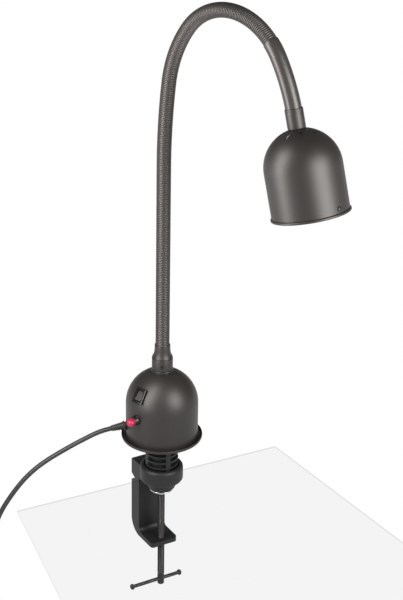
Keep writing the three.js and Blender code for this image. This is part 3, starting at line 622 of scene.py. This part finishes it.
screw = thread("screw_thread", SCREW_R, 5.5, SCREW_END + 22, PAD_TOP - 13, 2.5, 6, 32)
finish_piece(screw, STEEL, "screw", (), 60)
shank = turned("screw_end", [
    (SCREW_END, 0), (SCREW_END, 5.2), (SCREW_END + 1.2, 6.5), (SCREW_END + 20, 6.6),
    (SCREW_END + 22, 5.6), (SCREW_END + 23, 5.4), (SCREW_END + 23, 0),
], 48)
across = Matrix.Translation((0, 0, BAR_Z * MM)) @ Matrix.Rotation(RAD(90), 4, "Y")
shank = boolean(shank, [rod("h", 3.8, -12, 12, 32, across)])
finish_piece(soften(shank, 0.4), STEEL, "screw", ["clamp_screw"])
pin_top = turned("screw_pin", [
    (PAD_TOP - 13.4, 0), (PAD_TOP - 13.4, 5.5), (PAD_TOP - 12, 5.2), (PAD_TOP - 12, 4),
    (PAD_TOP - 5.6, 4), (PAD_TOP - 5.6, 0),
], 40)
finish_piece(pin_top, STEEL, "screw")
pad = turned("pad_disc", [
    (PAD_TOP, 0), (PAD_TOP, 20.6), (PAD_TOP - 0.3, 21.6), (PAD_TOP - 1, 22), (PAD_TOP - 2.2, 22),
    (PAD_TOP - 2.8, 21.6), (PAD_TOP - 3, 20.8), (PAD_TOP - 3, 12), (PAD_TOP - 3.6, 10.6),
    (PAD_TOP - 5, 9.7), (PAD_TOP - 11, 9.5), (PAD_TOP - 11.6, 8.8), (PAD_TOP - 11.6, 4.3),
    (PAD_TOP - 5, 4.3), (PAD_TOP - 5, 0),
], 80)
finish_piece(pad, BRIGHT, "pad", ["swivel_pad"])

bar = rod("bar", 3.5, -60, 38.5, 32, across, 0.4)
finish_piece(bar, STEEL, "handle", ["tommy_bar"])
for x, sign, node in ((-60, -1, "bar_knob_left"), (38.5, 1, "bar_knob_right")):
    m = facing((x, 0, BAR_Z), (sign, 0, 0))
    knob = turned("bar_end", [
        (-0.2, 0), (-0.2, 3.6), (0.2, 4.8), (0.9, 5.4), (2, 5.7), (3.4, 5.6), (4.8, 5.0),
        (5.9, 3.8), (6.5, 2.2), (6.7, 0),
    ], 40, m)
    finish_piece(knob, STEEL, "handle", [node])


# ---- flexible arm ----
def arm_point(s):
    """The arm's centreline at a length along it: point, outward normal and the plane's normal."""
    x, z, heading, left = 0.0, NECK_START, 0.0, s
    for size, turn in ARM_PATH:
        length = size if turn is None else size * RAD(turn)
        step = min(left, length)
        if turn is None:
            z += step
        else:
            t = step / size
            x += size * (math.cos(heading) - math.cos(heading + t))
            z += size * (math.sin(heading + t) - math.sin(heading))
            heading += t
        left -= step
        if left <= 0:
            break
    if left > 0:
        x += left * math.sin(heading)
        z += left * math.cos(heading)
    turn_z = Matrix.Rotation(RAD(ARM_AZ), 3, "Z")
    n = Vector((math.cos(heading), 0, -math.sin(heading)))
    return turn_z @ Vector((x, 0, z)), turn_z @ n, turn_z @ Vector((0, 1, 0))


def reach(n):
    return sum(size if turn is None else size * RAD(turn) for size, turn in ARM_PATH[:n])


BEND = 118.5 * RAD(1)
ARM_END = reach(5)
JOINTS = (59.0, 204.0, reach(1), reach(3), reach(3) + 45 * BEND, reach(3) + 88 * BEND)
SLEEVE_START = reach(3) + 97 * BEND

ferrule = turned("swivel_ferrule", [
    (253.7, 7), (253.7, 14.2), (272.2, 14.2), (272.2, 18.2), (272.8, 18.8), (274, 18.5),
    (276, 17.3), (278, 16.3), (280.5, 15.5), (284, 14.9), (288, 14.5), (296.6, 14.2),
    (297.3, 14.0), (297.5, 13.7), (297.5, 13.0), (285, 13.0), (285, 7),
], 80, closed=True)
finish_piece(ferrule, SATIN, "stem", ["lower_ferrule"])

PITCH = 3.3
cuts = [0.0]
for a, b in zip(JOINTS, JOINTS[1:]):
    cuts.append(PITCH * round((a + b) / 2 / PITCH))
cuts.append(PITCH * round((ARM_END + 10) / PITCH))
REACHES = ((36, 44), (60, 60), (58, 58), (30, 40), (40, 38), (38, 16))


def ribbed(name, s0, s1):
    """A length of gooseneck: round ribs one pitch apart, with a plain bore."""
    profile = []
    count = round((s1 - s0) / PITCH)
    for k in range(count):
        s = s0 + k * PITCH
        profile += [(s, NECK_R - 1.1), (s + 0.5, NECK_R - 0.4), (s + 1.15, NECK_R)]
        profile += [(s + PITCH - 1.15, NECK_R), (s + PITCH - 0.5, NECK_R - 0.4)]
    profile.append((s1, NECK_R - 1.1))
    steps = max(1, round((s1 - s0) / 12))
    inside = [(s1 + (s0 - s1) * k / steps, NECK_R - 3) for k in range(steps + 1)]
    return rings(name, arm_point, profile + inside, 40, True)


for k in range(6):
    tube = ribbed(f"gooseneck_{k + 1}", cuts[k], cuts[k + 1])
    nodes = [f"neck_{k + 1}"] + (["neck_7"] if k == 5 else [])
    finish_piece(tube, NECK, None, nodes, 75)
    before, after = REACHES[k]
    start = arm_point(max(cuts[k], JOINTS[k] - before))[0] * MM
    stop = arm_point(min(cuts[k + 1], JOINTS[k] + after))[0] * MM
    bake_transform(tube)


def tube_along(name, s0, s1, outer_profile, inner_r, step, sides):
    n = max(2, round((s1 - s0) / step))
    outside = [(s0, inner_r)] + [(s0 + ds, r) for ds, r in outer_profile[0]]
    outside += [(s0 + (s1 - s0) * k / n, outer_profile[1]) for k in range(1, n)]
    outside += [(s1 + ds, r) for ds, r in outer_profile[2]]
    inside = [(s1 + (s0 - s1) * k / n, inner_r) for k in range(n)]
    return rings(name, arm_point, outside + inside, sides, True)


sleeve = tube_along(
    "shrink_sleeve", SLEEVE_START, ARM_END - 12,
    ([(0.1, NECK_R + 0.35), (0.8, SLEEVE_R - 0.1), (2.2, SLEEVE_R)], SLEEVE_R, [(0, SLEEVE_R)]),
    NECK_R - 0.3, 5, 48,
)
finish_piece(sleeve, SLEEVE, "head", ["neck_sleeve"], 50)

# ---- head, built about its own axis with +Z out of the mouth ----
end_p, end_n, end_b = arm_point(ARM_END)
axis = end_n.cross(end_b) * -1
if axis.z > 0:
    axis = axis * -1
# keep the mesh's local +X in the arm's plane
local_x = (end_n - axis * end_n.dot(axis)).normalized()
head_m = basis(local_x, axis.cross(local_x), axis, end_p + axis * SHADE_TO_ARM)


def cap(R, r):
    return -math.sqrt(R * R - r * r)


top_z = -SHADE_TO_ARM - 13
head_ferrule = turned("head_socket", [
    (top_z, 13.1), (top_z, 14.3), (top_z + 0.3, 14.8), (top_z + 1.0, 15.0),
    (cap(SHADE_R, 15) - 3.0, 15.0), (cap(SHADE_R, 15) - 2.0, 14.8), (cap(SHADE_R, 15) - 1.2, 14.2),
    (cap(SHADE_R, 13.8) - 0.05, 13.6), (-SHADE_R - 0.1, 6.6), (-SHADE_R - 4, 6.6),
    (-SHADE_R - 4, 13.1),
], 80, head_m, closed=True)
finish_piece(head_ferrule, SATIN, "head", ["head_ferrule"])

profile = dome_profile(SHADE_R, SHADE_R - SHELL, 0, -(SHADE_DEPTH - RIM_H), 6.6)
profile = [(-z, r) for z, r in profile]
shade = turned("shade_shell", profile, 128, closed=True)
RIM_SCREWS = (-176.5, 3.5)
SCREW_Z = SHADE_DEPTH - RIM_H - 7
slots = []
for k in range(VENTS):
    turn = Matrix.Rotation(RAD(VENT_TURN + 360 * k / VENTS), 4, "Z")
    slots.append(prism("s", rounded_rect(18.5, 35, -1.7, 1.7, 1.6, 5), -72, -40, turn))
shade = boolean(shade, slots)
shade = boolean(shade, [
    rod("h", 2.2, -6, 6, 20, on_dome(a, 0, polar(a, SHADE_R, SCREW_Z))) for a in RIM_SCREWS
])
shade.data.transform(head_m)
finish_piece(shade, SATIN, "head", ["shade"])

inner_r = SHADE_R - SHELL
lip = SHADE_DEPTH - RIM_H
rim = turned("mouth_ring", [
    (lip - 11, inner_r - 1.9), (lip - 11, inner_r - 0.1), (lip + 0.1, inner_r - 0.1),
    (lip + 0.25, 63.6), (lip + 0.5, 64.9), (lip + 1.0, RIM_R - 0.5), (lip + 1.8, RIM_R),
    (lip + 3.8, RIM_R), (lip + 4.5, RIM_R - 0.3), (lip + 4.9, RIM_R - 0.8), (lip + 5, 65.0),
    (lip + 5, inner_r - 1.2),
    (lip + 4.4, inner_r - 1.9),
], 128, closed=True)
rim = boolean(rim, [
    rod("h", 2.2, -8, 6, 20, on_dome(a, 0, polar(a, SHADE_R, SCREW_Z))) for a in RIM_SCREWS
])
rim.data.transform(head_m)
finish_piece(rim, SATIN, "head", ["rim_ring"])
for k, a in enumerate(RIM_SCREWS):
    m = head_m @ on_dome(a, 0, polar(a, SHADE_R, SCREW_Z))
    head = pan_head("rim_screw_head", 4.2, 2.7)
    head.data.transform(m)
    finish_piece(head, STEEL, "head", [f"rim_screw_{k + 1}"])
    finish_piece(rod("rim_screw_shank", 1.9, -7, 0.4, 20, m, 0.4), STEEL, "head")

nipple = turned("nipple", [
    (-67.8, 4), (-67.8, 6.0), (-44, 6.0), (-44, 4),
], 32, head_m, closed=True)
finish_piece(nipple, STEEL, "head", ["head_nipple"])
nn = prism("nipple_locknut", hexagon(11), -60.4, -57, bevel=0.4)
nn = boolean(nn, [rod("h", 6.1, -70, -50, 32)])
nn.data.transform(head_m)
finish_piece(nn, STEEL, "head", ["nipple_nut"])
socket = turned("lamp_holder", [
    (-56.6, 6.4), (-56.6, 13), (-55.6, 14.2), (-52, 18.4), (-49, 20), (-45, 20.6), (-16, 20.6),
    (-13.2, 20.2), (-12.2, 19.4), (-12, 18.2), (-12, 15.4), (-44.6, 15.4), (-44.6, 6.4),
], 64, head_m, closed=True)
finish_piece(socket, WHITE, "head", ["lamp_socket"])
base_profile = [(-42, 0), (-42, 4), (-40, 6), (-38.5, 10), (-37.8, 12.4)]
for k in range(6):
    z = -37 + 3.2 * k
    base_profile += [(z, 13.1), (z + 1.0, 13.5), (z + 1.7, 13.2), (z + 2.4, 12.6)]
base_profile += [(-16.6, 13.6), (-15.8, 13.6), (-15.8, 0)]
bulb_base = turned("lamp_cap", base_profile, 48, head_m)
finish_piece(bulb_base, BRASS, "head", ["bulb_base"])
reflector = turned("lamp_reflector", [
    (-15.7, 0), (-15.7, 13.2), (-12, 13.6), (-8, 15), (-2, 19.4), (6, 25.6), (16, 32.6),
    (26, 38.6), (36, 43.2), (44, 46.0), (50, 47.3), (53, 47.5), (55.5, 47.2), (55.5, 0),
], 80, head_m)
finish_piece(reflector, MIRROR, "head", ["bulb_glass"])
face = turned("lamp_face", [
    (55.6, 0), (55.6, 47.2), (57.4, 46.8), (59.6, 45), (61.2, 41.5), (62.6, 35), (63.6, 26),
    (64.2, 14), (64.4, 0),
], 80, head_m)
finish_piece(face, GLASS, "head", ())

# ---- set: room, soft lights, clear sheet in the clamp's throat, floor under the cord ----
FLOOR_GLOW = 1.0
world = bpy.data.worlds.new("room")
bpy.context.scene.world = world
world.use_nodes = True
world.node_tree.nodes["Background"].inputs["Color"].default_value = (1, 1, 1, 1)
world.node_tree.nodes["Background"].inputs["Strength"].default_value = 0.2


def softbox(name, where, target, width, height, power):
    data = bpy.data.lights.new(name, "AREA")
    data.shape = "RECTANGLE"
    data.size, data.size_y, data.energy = width, height, power
    data.color = (1, 0.965, 0.935)
    obj = bpy.data.objects.new(name, data)
    bpy.context.scene.collection.objects.link(obj)
    obj.location = where
    aim = (Vector(target) - Vector(where)).to_track_quat("-Z", "Y")
    obj.rotation_mode = "QUATERNION"
    obj.rotation_quaternion = aim
    return obj


view_az = RAD(31)
right = Vector((math.cos(view_az), -math.sin(view_az), 0))
back = Vector((-math.sin(view_az), -math.cos(view_az), 0))


def from_view(x, toward, z):
    return right * x + back * toward + Vector((0, 0, z))


softbox("left softbox", from_view(-0.46, 0.44, 0.72), (0.03, -0.1, 0.45), 0.32, 1.1, 15)
softbox("right softbox", from_view(0.98, 0.92, 0.85), (0.05, -0.2, 0.5), 0.75, 1.1, 33)


def sheet_material(name, tint):
    """Clear sheet: it only tints what is behind it."""
    m = bpy.data.materials.new(name)
    m.use_nodes = True
    t = m.node_tree
    t.nodes.clear()
    clear = t.nodes.new("ShaderNodeBsdfTransparent")
    clear.inputs["Color"].default_value = (*tint, 1)
    t.links.new(clear.outputs["BSDF"], t.nodes.new("ShaderNodeOutputMaterial").inputs["Surface"])
    return m


# a plain pale floor, the same everywhere: it gives off its own white and takes no shadow
floor = block("floor", -9000, 9000, -6000, 12000, -300, -290.05)
floor_mat = material("white floor", (0, 0, 0), 1.0, Specular_IOR_Level=0.0)
shader = floor_mat.node_tree.nodes["Principled BSDF"]
shader.inputs["Emission Color"].default_value = (1, 1, 1, 1)
shader.inputs["Emission Strength"].default_value = FLOOR_GLOW
floor.data.materials.append(floor_mat)
# the sheet is not square: its back edge comes up to the spine, its sides splay to the front
SHEET = [(-276, 50), (271, 23), (290, -700), (-415, -700)]
slab = prism("slab", SHEET, -3.2, -0.1)
slab.data.materials.append(sheet_material("clear sheet", (0.95, 0.95, 0.952)))
slab.data.materials.append(sheet_material("sheet edge", (0.78, 0.79, 0.8)))
for polygon in slab.data.polygons:
    polygon.material_index = 0 if abs(polygon.normal.z) > 0.5 else 1

# ---- camera: long lens, looking down about 24 degrees, rolled a degree ----
cam_data = bpy.data.cameras.new("camera")
cam_data.sensor_width = 36
cam_data.lens = 99.6
cam_data.clip_start, cam_data.clip_end = 0.1, 50
cam = bpy.data.objects.new("camera", cam_data)
bpy.context.scene.collection.objects.link(cam)
eye, aim = Vector((-1.3388, -2.3630, 1.6197)), Vector((0.0595, -0.0358, 0.3869))
ahead = (aim - eye).normalized()
level = ahead.cross(Z).normalized()
above = level.cross(ahead)
roll = RAD(1.04)
cam_x = level * math.cos(roll) + above * math.sin(roll)
cam_y = above * math.cos(roll) - level * math.sin(roll)
cam.matrix_world = Matrix((cam_x, cam_y, -ahead)).transposed().to_4x4()
cam.location = eye
bpy.context.scene.camera = cam

scene = bpy.context.scene
scene.view_settings.view_transform = "Standard"
